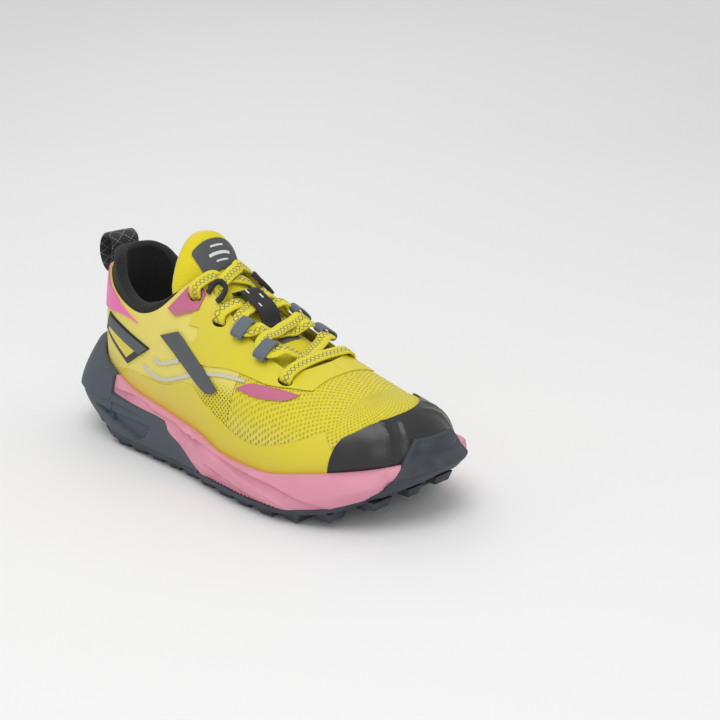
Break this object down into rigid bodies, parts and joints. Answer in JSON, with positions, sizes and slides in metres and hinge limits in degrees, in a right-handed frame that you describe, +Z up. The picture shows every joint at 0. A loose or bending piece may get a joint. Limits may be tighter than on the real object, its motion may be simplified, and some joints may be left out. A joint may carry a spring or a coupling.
{
  "type": "running shoe",
  "caption": "Low-cut trail running shoe for the right foot, laced, with a foam midsole, a lugged rubber outsole and a heel pull loop.",
  "frame": {"origin": "centre of the shoe's box, on the ground under the outsole lugs", "axes": "+X towards the toe, +Y towards the inner side of the foot, +Z up"},
  "size_m": [0.2724, 0.1084, 0.1269],
  "materials": {
    "rubber": "dark blue-grey blown rubber, matt",
    "slate_foam": "slate blue-grey moulded foam, fine skin",
    "pink_foam": "pink moulded foam with a fine pebbled skin",
    "white_felt": "off-white non-woven board",
    "insole_foam": "dark brushed textile over foam",
    "pale_mesh": "pale yellow ripstop mesh",
    "yellow_mesh": "bright yellow engineered mesh",
    "yellow_pad": "bright yellow smooth padded textile",
    "black_knit": "black ribbed collar knit",
    "yellow_film": "bright yellow welded film, satin",
    "badge_film": "yellow welded film with a dark outline",
    "pink_film": "pink welded film, satin",
    "rose_film": "rose welded film, satin",
    "black_gloss": "black moulded film, glossy",
    "grey_print": "charcoal printed film",
    "silver_print": "silver grey printed film",
    "lace_yarn": "flat yellow woven lace with a dark fleck",
    "keeper_strap": "black woven strap with small pale dashes",
    "black_webbing": "black webbing with a grey zigzag",
    "grey_webbing": "grey folded webbing",
    "black_cord": "black round braided cord",
    "clear_plastic": "clear moulded lace tip"
  },
  "bodies": {
    "shoe": {"outsole": "rubber", "heel_carrier": "slate_foam", "midsole_foam": "pink_foam", "strobel_board": "white_felt", "insole": "insole_foam", "quarter_lateral": "pale_mesh", "quarter_medial": "pale_mesh", "vamp_mesh": "yellow_mesh", "heel_counter": "white_felt", "toe_puff": "white_felt", "collar_lining": "black_knit", "heel_overlay": "pink_film", "toe_cap": "black_gloss", "tongue": "yellow_mesh", "tongue_patch": "grey_print", "lace": "lace_yarn", "lace_keeper": "keeper_strap", "pull_loop_anchor": "black_webbing", "rand_lateral": "yellow_film", "rand_medial": "yellow_film", "eyestay_lateral": "yellow_film", "eyestay_medial": "yellow_film", "heel_badge_lateral": "badge_film", "heel_badge_medial": "badge_film", "eyelet_patch_lateral": "rose_film", "eyelet_patch_medial": "rose_film", "forefoot_flash_lateral": "pink_film", "forefoot_flash_medial": "pink_film", "side_slash_lateral": "grey_print", "side_slash_medial": "grey_print", "piping_upper_lateral": "silver_print", "piping_upper_medial": "silver_print", "piping_lower_lateral": "silver_print", "piping_lower_medial": "silver_print", "webbing_loop_1_lateral": "grey_webbing", "webbing_loop_1_medial": "grey_webbing", "webbing_loop_2_lateral": "grey_webbing", "webbing_loop_2_medial": "grey_webbing", "cord_loop_lateral": "black_cord", "cord_loop_medial": "black_cord", "aglet_lateral": "clear_plastic", "aglet_medial": "clear_plastic"},
    "tongue_top": {"tongue_top": "yellow_pad", "tongue_label": "grey_print"},
    "pull_loop": {"pull_loop": "black_webbing"}
  },
  "joints": [
    {"name": "tongue_fold", "type": "hinge", "parent": "shoe", "child": "tongue_top", "pos_m": [-0.0209, 0.0035, 0.106], "axis": [0, 1, 0], "range_deg": [-12, 18]},
    {"name": "pull_loop_fold", "type": "hinge", "parent": "shoe", "child": "pull_loop", "pos_m": [-0.1168, 0.0035, 0.0938], "axis": [0, 1, 0], "range_deg": [-75, 4]}
  ]
}
